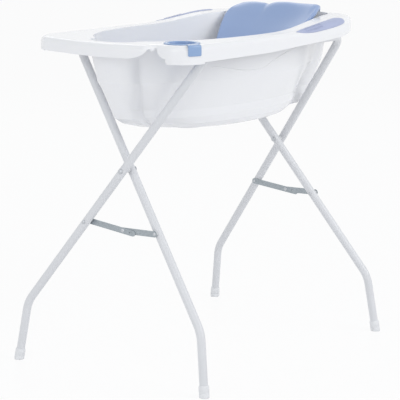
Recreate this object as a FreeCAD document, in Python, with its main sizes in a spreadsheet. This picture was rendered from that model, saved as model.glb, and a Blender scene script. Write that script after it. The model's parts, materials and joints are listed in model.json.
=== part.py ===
import FreeCAD, Part
import math
import os
import Sketcher

V = FreeCAD.Vector
doc = FreeCAD.newDocument("BabyBath")

# Driving dimensions in millimetres; tub lengths count from the stand's half length, widths from the rim
SIZES = {
    "outer_half": 358.5, "rim_half": 248, "floor_height": 640, "tub_depth": 238, "clearance": 0.3,
    "tube_dia": 22, "tube_wall": 1.5, "pivot_drop": 102.5, "bar_inset": 17, "bar_drop": 28,
    "knee_height": 160, "foot_kick": 23, "leg_splay": 0.174, "shin_splay": 0.091,
    "knee_bend": 90, "corner_bend": 45, "cap_wall": 2.4, "cap_grip": 26, "cap_sole": 5,
    "pivot_pin_dia": 6, "pin_fit": 0.06, "head_dia": 13, "head_height": 2.6,
    "stay_drop_outer": 142.5, "stay_drop_inner": 150.5, "stay_knee_offset": 7, "stay_knee_drop": 154,
    "stay_width": 16, "stay_gauge": 1.5, "stay_tail": 34, "stay_pin_dia": 5, "stay_head_dia": 10,
    "stay_hole_dia": 4.4, "stay_spacer_dia": 11, "stay_gap": 5.4,
    "wall": 3, "rim_round": 14, "shoulder_over": 91.5, "lobe_bow": 30, "lobe_tip_round": 400,
    "lobe_inset": 88, "lobe_round": 16, "notch_inset": 103, "notch_round": 7,
    "lobe_lift": 9, "arch_height": 34, "arch_top": 5, "arch_lobe": 58, "arch_corner": 27,
    "corner_over": 53.5, "corner_round": 64, "plain_over": 75, "plain_round": 90,
    "side_short": 58.5, "side_round": 300,
    "head_over": 79.5, "head_inset": 66, "head_round": 110, "head_bow": 42, "head_tip_round": 300,
    "rim_rise": 20, "rise_start": 65, "rise_run": 193, "rise_share": 0.3,
    "skirt_drop": 43, "skirt_turn": -60, "skirt_head_drop": 42, "lip_drop": 4, "lip_end_in": 20.5,
    "belly_power": 2.35, "hip_rise": 55, "waist_rise": 130, "crown_over": 17,
    "floor_in": 131, "hip_in": 35, "waist_out": 11, "crown_out": 47.5,
    "floor_inset": 108, "hip_inset": 85, "waist_inset": 63, "crown_inset": 42,
    "toe_floor_in": 131, "toe_hip_out": 21.5, "toe_waist_out": 55.5, "toe_crown_out": 90.5,
    "toe_floor_half": 43, "toe_hip_half": 34, "toe_waist_half": 60, "toe_crown_half": 81,
    "nape_floor_in": 13.5, "nape_hip_out": 73.5, "nape_waist_out": 85, "nape_crown_out": 98.5,
    "nape_floor_half": 44, "nape_hip_half": 76, "nape_waist_half": 110, "nape_crown_half": 140,
    "nose_round": 0.7, "crease_ease": 10, "nape_plain": 75,
    "pad_depth": 5, "pad_back": 190, "pad_front": 50, "pad_inset": 56, "pad_round": 40,
    "saddle_at": 190, "saddle_thick": 4,
    "drain_at": 130, "drain_dia": 36, "seal_dia": 47, "seal_height": 2, "plug_flange": 3, "plug_depth": 6,
    "plug_knob_dia": 14, "plug_knob_height": 16, "plug_fit": 0.3,
    "dish_bowl_dia": 76, "dish_flange_dia": 92, "dish_depth": 22, "dish_wall": 2.5, "dish_tab_drop": 26,
    "dish_tab_half_angle": 18, "dish_tab_turn": 22, "dish_fit": 0.4,
    "grip_start": 52, "grip_past": 14, "grip_width": 41, "grip_thick": 1.2, "grip_drop": 30,
    "grip_tip_width": 5, "grip_tip_rise": 4, "grip_swell": 55, "grip_swell_width": 16, "grip_full": 128,
    "grip_end_drop": 12,
    "rest_gauge": 4, "rest_inset": 72, "rest_foot_inset": 44, "rest_cheek": 14, "rest_front": 0,
    "rest_heel": 74, "rest_mid_short": 188, "rest_mid_drop": 28, "rest_ridge_short": 78,
    "rest_ridge_rise": 40, "rest_back_short": 28, "rest_bend": 40,
}

sheet = doc.addObject("Spreadsheet::Sheet", "Sizes")
for row, (alias, number) in enumerate(SIZES.items(), start=1):
    sheet.set("A%d" % row, alias)
    sheet.set("B%d" % row, str(number))
    sheet.setAlias("B%d" % row, alias)
doc.recompute()


def num(alias):
    """Plain number of a named size."""
    return float(sheet.get(alias))


# Places that follow from the driving dimensions
floor_z = num("floor_height")
rim_low = floor_z + num("tub_depth")
rim_high = rim_low + num("rim_rise")
skirt_low = rim_low - num("skirt_drop")
skirt_head = rim_high - num("skirt_head_drop")
pivot_z = floor_z - num("pivot_drop")
bar_z = rim_low - num("bar_drop")
outer_x = num("outer_half")
rim_half = num("rim_half")
crown_half = rim_half - num("crown_inset")
floor_half = rim_half - num("floor_inset")
crown_long = outer_x + num("crown_out")
floor_long = outer_x - num("floor_in")
shoulder_x = outer_x + num("shoulder_over")
corner_x = outer_x + num("corner_over")
notch_half = rim_half - num("notch_inset")
side_x = outer_x - num("side_short")
head_x = outer_x + num("head_over")
bar_y = rim_half - num("bar_inset")
leg_slope = bar_y / (bar_z - pivot_z)
reach_out = math.hypot(leg_slope, 1.0)
slant = num("leg_splay") / reach_out
swell = math.hypot(1.0, slant)


class Size:
    """A length that carries its number and the sheet expression it comes from."""

    def __init__(self, value, text):
        self.value = float(value)
        self.text = text

    def _pair(self, other):
        if isinstance(other, Size):
            return other
        return Size(other, repr(other))

    def __add__(self, other):
        o = self._pair(other)
        return Size(self.value + o.value, "(%s + %s)" % (self.text, o.text))

    def __radd__(self, other):
        return self._pair(other) + self

    def __sub__(self, other):
        o = self._pair(other)
        return Size(self.value - o.value, "(%s - %s)" % (self.text, o.text))

    def __rsub__(self, other):
        return self._pair(other) - self

    def __mul__(self, other):
        o = self._pair(other)
        return Size(self.value * o.value, "(%s * %s)" % (self.text, o.text))

    def __rmul__(self, other):
        return self._pair(other) * self

    def __truediv__(self, other):
        o = self._pair(other)
        return Size(self.value / o.value, "(%s / %s)" % (self.text, o.text))


def size(alias):
    """Named size with its sheet expression."""
    return Size(sheet.get(alias), "Sizes.%s" % alias)


def bind(obj, prop, amount):
    """Set a property from a Size and keep it bound to the sheet."""
    if isinstance(amount, Size):
        obj.setExpression(prop, amount.text)
    else:
        setattr(obj, prop, amount)


subparts = []


def keep(obj, label):
    """Mark an object as a finished sub-part."""
    obj.Label = label
    subparts.append(obj)
    return obj


def turned(direction, base):
    """Placement whose Z axis runs along a direction from a base point."""
    return FreeCAD.Placement(V(base), FreeCAD.Rotation(V(0, 0, 1), V(direction)))


def cylinder(name, radius, height, placement):
    """Part cylinder bound to the sheet."""
    c = doc.addObject("Part::Cylinder", name)
    bind(c, "Radius", radius)
    bind(c, "Height", height)
    c.Placement = placement
    return c


def feature(name, shape):
    """Document object that holds a computed curve or solid."""
    f = doc.addObject("Part::Feature", name)
    f.Shape = shape
    return f


def cut(name, base, tool):
    """Boolean difference as a document object."""
    c = doc.addObject("Part::Cut", name)
    c.Base = base
    c.Tool = tool
    return c


def fuse(name, parts):
    """Boolean union as a document object."""
    f = doc.addObject("Part::MultiFuse", name)
    f.Shapes = parts
    return f


def common(name, base, tool):
    """Boolean intersection as a document object."""
    c = doc.addObject("Part::Common", name)
    c.Base = base
    c.Tool = tool
    return c


def origin_plane(body, role):
    """One of a body's own origin planes."""
    return [f for f in body.Origin.OriginFeatures if f.Role == role][0]


def new_sketch(body, role, name):
    """Empty sketch on one of the body's origin planes."""
    sk = body.newObject("Sketcher::SketchObject", name)
    sk.AttachmentSupport = [(origin_plane(body, role), "")]
    sk.MapMode = "FlatFace"
    return sk


def fix_distance(sk, kind, index, amount):
    """Hold a point at a signed distance from the sketch origin along one axis."""
    c = sk.addConstraint(Sketcher.Constraint(kind, -1, 1, index[0], index[1], amount.value))
    sk.setExpression("Constraints[%d]" % c, amount.text)


def revolved(label, profile, placement, seat=None):
    """Body turned from a closed profile of radius and height pairs, shaped to a seat if given."""
    body = doc.addObject("PartDesign::Body", label + "_body")
    sk = new_sketch(body, "XZ_Plane", label + "_profile")
    n = len(profile)
    pts = [(r.value if isinstance(r, Size) else 0.0, h.value if isinstance(h, Size) else 0.0)
           for r, h in profile]
    for i in range(n):
        a, b = pts[i], pts[(i + 1) % n]
        sk.addGeometry(Part.LineSegment(V(a[0], a[1], 0), V(b[0], b[1], 0)), False)
    for i in range(n):
        sk.addConstraint(Sketcher.Constraint("Coincident", i, 2, (i + 1) % n, 1))
    for i, (r, h) in enumerate(profile):
        if isinstance(r, Size):
            fix_distance(sk, "DistanceX", (i, 1), r)
        else:
            sk.addConstraint(Sketcher.Constraint("PointOnObject", i, 1, -2))
        if isinstance(h, Size):
            fix_distance(sk, "DistanceY", (i, 1), h)
        else:
            sk.addConstraint(Sketcher.Constraint("PointOnObject", i, 1, -1))
    doc.recompute()
    turn = body.newObject("PartDesign::Revolution", label + "_turn")
    turn.Profile = sk
    turn.ReferenceAxis = (sk, ["V_Axis"])
    turn.Angle = 360
    sk.Visibility = False
    body.Placement = placement
    doc.recompute()
    if seat is None:
        return keep(body, label)
    return keep(cut(label + "_seated", body, seat), label)


def round_wire(corners):
    """Closed wire of straight runs and tangent arcs from (point, radius) corners."""
    n = len(corners)
    starts, ends, mids = [], [], []
    for i, (p, r) in enumerate(corners):
        prev, nxt = corners[i - 1][0], corners[(i + 1) % n][0]
        a = (prev - p).normalize()
        b = (nxt - p).normalize()
        half = a.getAngle(b) / 2
        run = r / math.tan(half)
        starts.append(p + a * run)
        ends.append(p + b * run)
        inward = (a + b).normalize()
        mids.append(p + inward * (r / math.sin(half) - r))
    edges = []
    for i in range(n):
        edges.append(Part.Arc(starts[i], mids[i], ends[i]).toShape())
        edges.append(Part.LineSegment(ends[i], starts[(i + 1) % n]).toShape())
    return Part.Wire(edges)


def open_round_path(points, radii):
    """Open wire of straight runs and tangent arcs through the given points."""
    edges = []
    at = points[0]
    for i in range(1, len(points) - 1):
        p, r = points[i], radii[i]
        a = (points[i - 1] - p).normalize()
        b = (points[i + 1] - p).normalize()
        half = a.getAngle(b) / 2
        run = r / math.tan(half)
        inward = (a + b).normalize()
        edges.append(Part.LineSegment(at, p + a * run).toShape())
        edges.append(Part.Arc(p + a * run, p + inward * (r / math.sin(half) - r), p + b * run).toShape())
        at = p + b * run
    edges.append(Part.LineSegment(at, points[-1]).toShape())
    return Part.Wire(edges)


# Stand geometry: each frame is one bent tube, feet on one side and top bar on the other
LEAN_REACH = 1.4
tube_r = size("tube_dia") / 2
tube_side = tube_r * swell
half_link = size("stay_width") / 2
link_lean = half_link * (slant * LEAN_REACH)
anchor_shift = (size("stay_drop_inner") - size("stay_drop_outer")) * size("leg_splay")
frame_step = (tube_side * 2 + link_lean + size("clearance") + size("stay_gauge") * 2
              + size("stay_gap") + anchor_shift)
inner_x = outer_x - frame_step.value


def leg_point(half_x, feet_side, hand, height):
    """Point on a straight leg at a height; feet_side is the sign of y at the feet."""
    below = pivot_z - height
    return V(hand * (half_x + below * num("leg_splay")), feet_side * leg_slope * below, height)


def frame_points(half_x, feet_side):
    """Corner points of one U frame from its left foot over the bar to its right foot."""
    pts = []
    for hand in (-1, 1):
        knee = leg_point(half_x, feet_side, hand, num("knee_height"))
        foot = V(knee.x + hand * num("knee_height") * num("shin_splay"),
                 knee.y + feet_side * num("foot_kick"), 0)
        shin = (knee - foot).normalize()
        end = foot + shin * (num("cap_sole") / shin.z)
        top = leg_point(half_x, feet_side, hand, bar_z)
        pts.append([end, knee, top, foot, shin])
    return pts


def tube_solid(name, path, radius):
    """Round bar swept along a bent path."""
    spine = feature(name + "_path", path)
    start = path.Edges[0].valueAt(path.Edges[0].FirstParameter)
    along = path.Edges[0].tangentAt(path.Edges[0].FirstParameter)
    ring = doc.addObject("Part::Circle", name + "_ring")
    bind(ring, "Radius", radius)
    ring.Placement = turned(along, start)
    sweep = doc.addObject("Part::Sweep", name)
    sweep.Sections = [ring]
    sweep.Spine = (spine, ["Edge%d" % (i + 1) for i in range(len(path.Edges))])
    sweep.Solid = True
    sweep.Frenet = False
    return sweep


X_AXIS = V(1, 0, 0)
pin_hole_r = size("pivot_pin_dia") / 2 + size("pin_fit")
stay_hole_r = size("stay_pin_dia") / 2 + size("pin_fit")


def frame_tube(label, half_x, feet_side, stay_drop):
    """Hollow bent frame with its pivot holes and stay holes."""
    left, right = frame_points(half_x, feet_side)
    points = [left[0], left[1], left[2], right[2], right[1], right[0]]
    radii = [0, num("knee_bend"), num("corner_bend"), num("corner_bend"), num("knee_bend"), 0]
    path = open_round_path(points, radii)
    skin = tube_solid(label + "_skin", path, tube_r)
    core = tube_solid(label + "_core", path, tube_r - size("tube_wall"))
    hollow = cut(label + "_hollow", skin, core)
    drills = []
    for hand in (-1, 1):
        for tag, drop, radius in (("pivot", 0, pin_hole_r), ("stay", num(stay_drop), stay_hole_r)):
            at = leg_point(half_x, feet_side, hand, pivot_z - drop)
            base = V(at.x - num("tube_dia"), at.y, at.z)
            drills.append(cylinder("%s_%s_drill_%d" % (label, tag, hand), radius,
                                   size("tube_dia") * 2, turned(X_AXIS, base)))
    done = keep(cut(label + "_drilled", hollow, fuse(label + "_drills", drills)), label)
    return (left, right), skin, done


outer_ends, outer_skin, outer_tube = frame_tube("outer_frame_tube", outer_x, 1, "stay_drop_outer")
inner_ends, inner_skin, inner_tube = frame_tube("inner_frame_tube", inner_x, -1, "stay_drop_inner")

# Foot caps: a cup on each tube end, cut level at the floor
cap_r = tube_r + size("cap_wall")
for frame_name, ends in (("outer", outer_ends), ("inner", inner_ends)):
    for hand_name, (end, knee, top, foot, shin) in zip(("left", "right"), ends):
        label = "foot_cap_%s_%s" % (frame_name, hand_name)
        cup = cylinder(label + "_cup", cap_r, size("cap_grip") + size("cap_sole") * 3,
                       turned(shin, foot - shin * (2 * num("cap_sole"))))
        well = cylinder(label + "_well", tube_r, size("cap_grip") * 2, turned(shin, end))
        floor = doc.addObject("Part::Box", label + "_floor")
        bind(floor, "Length", cap_r * 8)
        bind(floor, "Width", cap_r * 8)
        bind(floor, "Height", cap_r * 4)
        floor.Placement = FreeCAD.Placement(V(foot.x - 4 * cap_r.value, foot.y - 4 * cap_r.value,
                                              -4 * cap_r.value), FreeCAD.Rotation())
        keep(cut(label + "_level", cut(label + "_open", cup, well), floor), label)

# Pivots: a rivet through both tubes and a sleeve between them, each shaped to the outer tube
pin_r = size("pivot_pin_dia") / 2
head_r = size("head_dia") / 2
head_lean = head_r * slant
free_gap = tube_side + head_lean + size("clearance")
for hand_name, hand in (("left", -1), ("right", 1)):
    inward = V(-hand, 0, 0)
    head = size("head_height")
    grip = frame_step + tube_side + free_gap
    outside = V(hand * (outer_x + tube_side.value), 0, pivot_z)
    revolved("pivot_rivet_" + hand_name,
             [(0, 0), (head_r * 0.6, 0), (head_r, head * 0.6), (head_r, head), (pin_r, head),
              (pin_r, head + grip), (head_r, head + grip), (head_r, head * 1.4 + grip),
              (head_r * 0.6, head * 2 + grip), (0, head * 2 + grip)],
             turned(inward, outside - inward * head.value), outer_tube)
    sleeve_bore = pin_r + size("pin_fit")
    sink = size("tube_wall") * 2
    sleeve_len = frame_step - tube_side - free_gap + sink
    revolved("pivot_sleeve_" + hand_name,
             [(sleeve_bore, 0), (head_r, 0), (head_r, sleeve_len), (sleeve_bore, sleeve_len)],
             turned(inward, V(hand * (outer_x - tube_side.value + sink.value), 0, pivot_z)),
             outer_skin)

# Folding stays: two flat links a side, in neighbouring planes between the tubes
outer_anchor_x = outer_x + num("stay_drop_outer") * num("leg_splay")
inner_anchor_x = inner_x + num("stay_drop_inner") * num("leg_splay")
long_plane = outer_anchor_x - (tube_side + link_lean + size("clearance")).value
short_plane = long_plane - num("stay_gauge")
anchor_outer = V(0, leg_slope * num("stay_drop_outer"), pivot_z - num("stay_drop_outer"))
anchor_inner = V(0, -leg_slope * num("stay_drop_inner"), pivot_z - num("stay_drop_inner"))
stay_knee = V(0, -num("stay_knee_offset"), pivot_z - num("stay_knee_drop"))
long_run = (stay_knee - anchor_outer).Length
short_run = (stay_knee - anchor_inner).Length
stay_pin_r = size("stay_pin_dia") / 2
stay_head_r = size("stay_head_dia") / 2


def stay_link(label, start, end, run, tail, plane_x, hand, holes):
    """Flat link in a plane across X: a padded bar with round ends and drilled holes."""
    body = doc.addObject("PartDesign::Body", label + "_body")
    sk = new_sketch(body, "XY_Plane", label + "_outline")
    w = half_link.value
    length = run + tail.value
    quarter = math.pi / 2
    far_end, near_end = (Part.Circle(V(x, 0, 0), V(0, 0, 1), w) for x in (length, 0))
    sk.addGeometry(Part.LineSegment(V(0, -w, 0), V(length, -w, 0)), False)
    sk.addGeometry(Part.ArcOfCircle(far_end, -quarter, quarter), False)
    sk.addGeometry(Part.LineSegment(V(length, w, 0), V(0, w, 0)), False)
    sk.addGeometry(Part.ArcOfCircle(near_end, quarter, 3 * quarter), False)
    for a, pa, b, pb in ((0, 2, 1, 1), (1, 2, 2, 1), (2, 2, 3, 1), (3, 2, 0, 1)):
        sk.addConstraint(Sketcher.Constraint("Tangent", a, pa, b, pb))
    sk.addConstraint(Sketcher.Constraint("Coincident", 3, 3, -1, 1))
    sk.addConstraint(Sketcher.Constraint("Horizontal", 0))
    c = sk.addConstraint(Sketcher.Constraint("Radius", 3, w))
    sk.setExpression("Constraints[%d]" % c, half_link.text)
    c = sk.addConstraint(Sketcher.Constraint("DistanceX", 3, 3, 1, 3, length))
    sk.setExpression("Constraints[%d]" % c, "(%r + %s)" % (run, tail.text))
    doc.recompute()
    pad = body.newObject("PartDesign::Pad", label + "_pad")
    pad.Profile = sk
    pad.setExpression("Length", "Sizes.stay_gauge")
    doc.recompute()
    drill = new_sketch(body, "XY_Plane", label + "_holes")
    for at, radius in holes:
        g = drill.addGeometry(Part.Circle(V(at, 0, 0), V(0, 0, 1), radius.value), False)
        drill.addConstraint(Sketcher.Constraint("PointOnObject", g, 3, -1))
        if at > 0:
            drill.addConstraint(Sketcher.Constraint("DistanceX", -1, 1, g, 3, at))
        else:
            drill.addConstraint(Sketcher.Constraint("PointOnObject", g, 3, -2))
        c = drill.addConstraint(Sketcher.Constraint("Radius", g, radius.value))
        drill.setExpression("Constraints[%d]" % c, radius.text)
    doc.recompute()
    pocket = body.newObject("PartDesign::Pocket", label + "_pocket")
    pocket.Profile = drill
    pocket.Type = 1
    pocket.Midplane = True
    sk.Visibility = False
    drill.Visibility = False
    along = (end - start).normalize()
    across = V(hand, 0, 0)
    side = across.cross(along)
    turn = FreeCAD.Rotation(along, side, across, "ZXY")
    body.Placement = FreeCAD.Placement(V(hand * plane_x, start.y, start.z), turn)
    doc.recompute()
    return keep(body, label)


lock_at = num("stay_tail") * 0.7
for hand_name, hand in (("left", -1), ("right", 1)):
    gauge = size("stay_gauge")
    lock_r = size("stay_hole_dia") / 2
    stay_link("stay_link_outer_" + hand_name, anchor_outer, stay_knee, long_run, size("stay_tail"),
              long_plane - num("stay_gauge"), hand,
              [(0.0, stay_hole_r), (long_run, stay_hole_r), (long_run + lock_at, lock_r)])
    stay_link("stay_link_inner_" + hand_name, anchor_inner, stay_knee, short_run, half_link * 0,
              short_plane - num("stay_gauge"), hand,
              [(0.0, stay_hole_r), (short_run, stay_hole_r), (short_run - lock_at, lock_r)])
    out = V(hand, 0, 0)
    head = size("head_height") * 0.6
    # Outer anchor rivet: headed outside the tube, with a flat tail under the outer link
    sink = size("tube_wall") * 2
    spacer_r = size("stay_spacer_dia") / 2
    shank = tube_side * 2 + link_lean + size("clearance") + gauge
    at = V(hand * (outer_anchor_x + tube_side.value), anchor_outer.y, anchor_outer.z)
    revolved("stay_rivet_outer_" + hand_name,
             [(0, 0), (stay_head_r * 0.6, 0), (stay_head_r, head * 0.6), (stay_head_r, head),
              (stay_pin_r, head), (stay_pin_r, head + shank), (stay_head_r * 0.8, head + shank),
              (stay_head_r * 0.8, head + shank + gauge * 0.7), (0, head + shank + gauge * 0.7)],
             turned(-out, at + out * head.value), outer_tube)
    spacer_len = link_lean + size("clearance") + sink
    revolved("stay_spacer_outer_" + hand_name,
             [(stay_hole_r, 0), (spacer_r, 0), (spacer_r, spacer_len), (stay_hole_r, spacer_len)],
             turned(out, V(hand * long_plane, anchor_outer.y, anchor_outer.z)), outer_skin)
    # Inner anchor rivet: headed inside the tube, flush with the inner link
    reach = tube_side + size("stay_gap") + gauge
    shank = reach + tube_side
    at = V(hand * (inner_anchor_x - tube_side.value), anchor_inner.y, anchor_inner.z)
    revolved("stay_rivet_inner_" + hand_name,
             [(0, 0), (stay_head_r * 0.6, 0), (stay_head_r, head * 0.6), (stay_head_r, head),
              (stay_pin_r, head), (stay_pin_r, head + shank), (0, head + shank)],
             turned(out, at - out * head.value), inner_tube)
    spacer_len = reach - gauge - tube_side + sink
    revolved("stay_spacer_inner_" + hand_name,
             [(stay_hole_r, 0), (spacer_r, 0), (spacer_r, spacer_len), (stay_hole_r, spacer_len)],
             turned(-out, V(hand * (short_plane - num("stay_gauge")), anchor_inner.y, anchor_inner.z)),
             inner_skin)
    # Centre rivet: one half in each link, parted at the joint between them
    at = V(hand * (short_plane + num("clearance") / 3), stay_knee.y, stay_knee.z)
    shank = gauge - size("clearance") / 3
    revolved("stay_knee_head_" + hand_name,
             [(0, 0), (stay_pin_r, 0), (stay_pin_r, shank), (stay_head_r, shank),
              (stay_head_r, shank + head * 0.5), (stay_head_r * 0.6, shank + head),
              (0, shank + head)], turned(out, at))
    at = V(hand * (short_plane - num("clearance") / 3), stay_knee.y, stay_knee.z)
    revolved("stay_knee_tail_" + hand_name,
             [(0, 0), (stay_pin_r, 0), (stay_pin_r, shank), (stay_head_r, shank),
              (stay_head_r, shank + head * 0.5), (stay_head_r * 0.6, shank + head),
              (0, shank + head)], turned(-out, at))

# Tub rim: plan outline with a bowed foot end, a notch between it and the dish corner, a rounded head
TALL = rim_high + rim_half


def rim_corners(grow):
    """Rim outline, grown outwards by an amount: notched by the dish corner, plain across from it."""
    plain = [(-shoulder_x - num("lobe_bow"), 0, num("lobe_tip_round")),
             (-outer_x - num("plain_over"), rim_half, num("plain_round"))]
    head = [(side_x, rim_half, num("side_round")),
            (head_x, rim_half - num("head_inset"), num("head_round")),
            (head_x + num("head_bow"), 0, num("head_tip_round"))]
    notched = [(-corner_x, -rim_half, num("corner_round")),
               (-corner_x, -notch_half, num("notch_round")),
               (-shoulder_x, num("lobe_inset") - rim_half, num("lobe_round"))]
    around = plain + head + [(x, -y, r) for x, y, r in head[-2::-1]] + notched
    wire = round_wire([(V(x, y, 0), r) for x, y, r in around])
    if grow:
        wire = wire.makeOffset2D(grow)
    return wire


FAR = 2 * (shoulder_x + head_x)


def slab_face(raise_by):
    """Side profile of everything between the skirt's lower edge and the rim's top."""
    low, high = rim_low + raise_by, rim_high + raise_by
    start, end = num("rise_start"), num("rise_start") + num("rise_run")
    half_turn = math.atan2(num("rim_rise"), num("rise_run")) / 2
    bend = num("rise_share") * math.hypot(num("rise_run"), num("rim_rise")) / math.tan(half_turn)
    top = open_round_path([V(-FAR, 0, low), V(start, 0, low), V(end, 0, high), V(FAR, 0, high)],
                          [0, bend, bend, 0])
    fall = (skirt_head - skirt_low) / (head_x - num("skirt_turn"))
    base = [V(FAR, 0, skirt_head + fall * (FAR - head_x)), V(num("skirt_turn"), 0, skirt_low),
            V(-FAR, 0, skirt_low)]
    run = [V(FAR, 0, high)] + base + [V(-FAR, 0, low)]
    edges = [Part.LineSegment(run[i], run[i + 1]).toShape() for i in range(len(run) - 1)]
    return Part.Face(Part.Wire(list(top.Edges) + edges))


def under_rim(raise_by, depth):
    """Everything under the rim's top, down to the floor of the room."""
    slab = slab_face(raise_by).extrude(V(0, 2 * FAR, 0))
    slab.translate(V(0, -FAR, 0))
    below = Part.makeBox(2 * FAR, 2 * FAR, rim_low - depth, V(-FAR, -FAR, 0))
    return slab.fuse(below).removeSplitter()


def rim_block(grow, raise_by, bottom_open):
    """Rounded solid inside the rim outline, between the skirt edge and the top."""
    prism = Part.Face(rim_corners(grow)).extrude(V(0, 0, TALL))
    if bottom_open:
        slab = under_rim(raise_by, 2 * num("wall"))
    else:
        slab = slab_face(raise_by).extrude(V(0, 2 * FAR, 0))
        slab.translate(V(0, -FAR, 0))
    block = prism.common(slab)
    tops = []
    for e in block.Edges:
        middle = e.valueAt((e.FirstParameter + e.LastParameter) / 2)
        if middle.z < rim_low + raise_by - num("wall"):
            continue
        ends = [v.Point for v in e.Vertexes]
        crosswise = len(ends) == 2 and abs(ends[0].y - ends[1].y) > rim_half
        upright = len(ends) == 2 and abs(ends[0].z - ends[1].z) > num("wall") * 6
        if not crosswise and not upright:
            tops.append(e)
    return block.makeFillet(num("rim_round") + grow, tops)


def oval_half(x, long_half, wide_half):
    """Half width of the oval belly at a place along its length; none beyond its ends."""
    if abs(x) >= long_half:
        return -wide_half
    n = num("belly_power")
    return wide_half * (1 - (abs(x) / long_half) ** n) ** (1 / n)


def nose_half(x, toe, toe_half, nape, nape_half):
    """Half width of the narrow ends, which stretch past the belly between the legs."""
    reach, half = (toe, toe_half) if x < 0 else (nape, nape_half)
    start = reach - half * num("nose_round")
    run = max(abs(x) - start, 0) / (reach - start)
    return half * max(1 - run ** num("belly_power"), 0) ** (1 / num("belly_power"))


def basin_wire(row, shrink):
    """Closed section of the basin at one height, with eased creases beside the noses."""
    height, long_half, wide_half, toe, toe_half, nape, nape_half = row
    long_half, wide_half = long_half - shrink, wide_half - shrink
    toe, toe_half = toe - shrink, toe_half - shrink
    nape, nape_half = nape - shrink, nape_half - shrink
    nape_ease = max(num("crease_ease"), nape_half - num("nape_plain"))
    fine = []
    for i in range(FINE + 1):
        x = (nape - toe) / 2 - (nape + toe) / 2 * math.cos(math.pi * i / FINE)
        belly = oval_half(x, long_half, wide_half)
        nose = nose_half(x, toe, toe_half, nape, nape_half)
        ease = num("crease_ease") if x < 0 else nape_ease
        near = max(ease - abs(belly - nose), 0) / ease
        fine.append((x, max(belly, nose) + near * near * ease / 4))
    marks = [0.0]
    heading = math.pi / 2
    for (xa, ya), (xb, yb) in zip(fine, fine[1:]):
        turn = math.atan2(yb - ya, xb - xa)
        marks.append(marks[-1] + math.hypot(xb - xa, yb - ya) + abs(turn - heading) * TURN_WEIGHT)
        heading = turn
    half = []
    j = 0
    for k in range(1, COARSE):
        want = marks[-1] * k / COARSE
        while marks[j + 1] < want:
            j += 1
        part = (want - marks[j]) / (marks[j + 1] - marks[j])
        half.append((fine[j][0] + part * (fine[j + 1][0] - fine[j][0]),
                     fine[j][1] + part * (fine[j + 1][1] - fine[j][1])))
    ring = [(-toe, 0.0)] + half + [(nape, 0.0)] + [(x, -y) for x, y in reversed(half)]
    curve = Part.BSplineCurve()
    curve.interpolate([V(x, y, height) for x, y in ring], PeriodicFlag=True)
    return Part.Wire(curve.toShape())


FINE = 4000
COARSE = 60
TURN_WEIGHT = 60.0
BILGE_STEPS = 4


LEVELS = {
    "floor": (floor_z, floor_long, floor_half,
              outer_x - num("toe_floor_in"), num("toe_floor_half"),
              outer_x - num("nape_floor_in"), num("nape_floor_half")),
    "hip": (floor_z + num("hip_rise"), outer_x - num("hip_in"), rim_half - num("hip_inset"),
            outer_x + num("toe_hip_out"), num("toe_hip_half"),
            outer_x + num("nape_hip_out"), num("nape_hip_half")),
    "waist": (floor_z + num("waist_rise"), outer_x + num("waist_out"), rim_half - num("waist_inset"),
              outer_x + num("toe_waist_out"), num("toe_waist_half"),
              outer_x + num("nape_waist_out"), num("nape_waist_half")),
    "crown": (rim_high + num("crown_over"), crown_long, crown_half,
              outer_x + num("toe_crown_out"), num("toe_crown_half"),
              outer_x + num("nape_crown_out"), num("nape_crown_half")),
}


def basin(shrink):
    """Basin solid: an oval belly with a narrower nose at each end and a rounded bilge."""
    floor, hip = list(LEVELS["floor"]), LEVELS["hip"]
    floor[0] += shrink
    rows = []
    for i in range(BILGE_STEPS + 1):
        angle = math.pi / 2 * i / BILGE_STEPS
        rise, short = 1 - math.cos(angle), 1 - math.sin(angle)
        row = [floor[0] + (hip[0] - floor[0]) * rise]
        row += [h - (h - f) * short for f, h in zip(floor[1:], hip[1:])]
        rows.append(row)
    crown = list(LEVELS["crown"])
    crown[0] += shrink * 4
    rows += [LEVELS["waist"], crown]
    return Part.makeLoft([basin_wire(row, shrink) for row in rows], True, True)


def pad_block(shrink):
    """Base pad under the floor, with a recess inside when shrunk."""
    low = floor_z - num("pad_depth") + shrink
    half = floor_half - num("pad_inset") - shrink
    rear, front = -num("pad_back") + shrink, -num("pad_front") - shrink
    soft = num("pad_round") - shrink
    plan = round_wire([(V(rear, -half, low), soft), (V(front, -half, low), soft),
                       (V(front, half, low), soft), (V(rear, half, low), soft)])
    return Part.Face(plan).extrude(V(0, 0, num("pad_depth") + num("wall") - shrink / 2))


arch_y = notch_half + num("notch_round")
arch_z = skirt_low + num("arch_height")
lobe_z = skirt_low + num("lobe_lift")
lobe_flat = arch_y - num("arch_top") / 2 - num("arch_lobe")
arch_past = arch_y + num("arch_top") / 2 + num("arch_corner")


def quarter_arc(centre, across, down):
    """Quarter of an ellipse, from its side down to its foot."""
    ellipse = Part.Ellipse(centre + across, centre + down, centre)
    return Part.ArcOfEllipse(ellipse, 0, math.pi / 2).toShape()


def foot_edge():
    """Cutter that lifts the skirt's lower edge at the foot end, pointed at the notch."""
    low = skirt_low - 2 * num("lip_drop")
    flat, past = -lobe_flat, -arch_past
    arcs = [quarter_arc(V(0, flat, arch_z), V(0, -num("arch_lobe"), 0), V(0, 0, lobe_z - arch_z)),
            quarter_arc(V(0, past, arch_z), V(0, num("arch_corner"), 0), V(0, 0, lobe_z - arch_z))]
    run = [V(0, flat, lobe_z), V(0, flat, low), V(0, past, low), V(0, past, lobe_z)]
    edges = [Part.LineSegment(run[i], run[i + 1]).toShape() for i in range(len(run) - 1)]
    top = [V(0, end * num("arch_top") / 2 - arch_y, arch_z) for end in (-1, 1)]
    edges.append(Part.LineSegment(*top).toShape())
    face = Part.Face(Part.Wire(Part.__sortEdges__(arcs + edges)))
    face.translate(V(num("notch_round") * 3 - corner_x, 0, 0))
    return face.extrude(V(-FAR, 0, 0))


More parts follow.
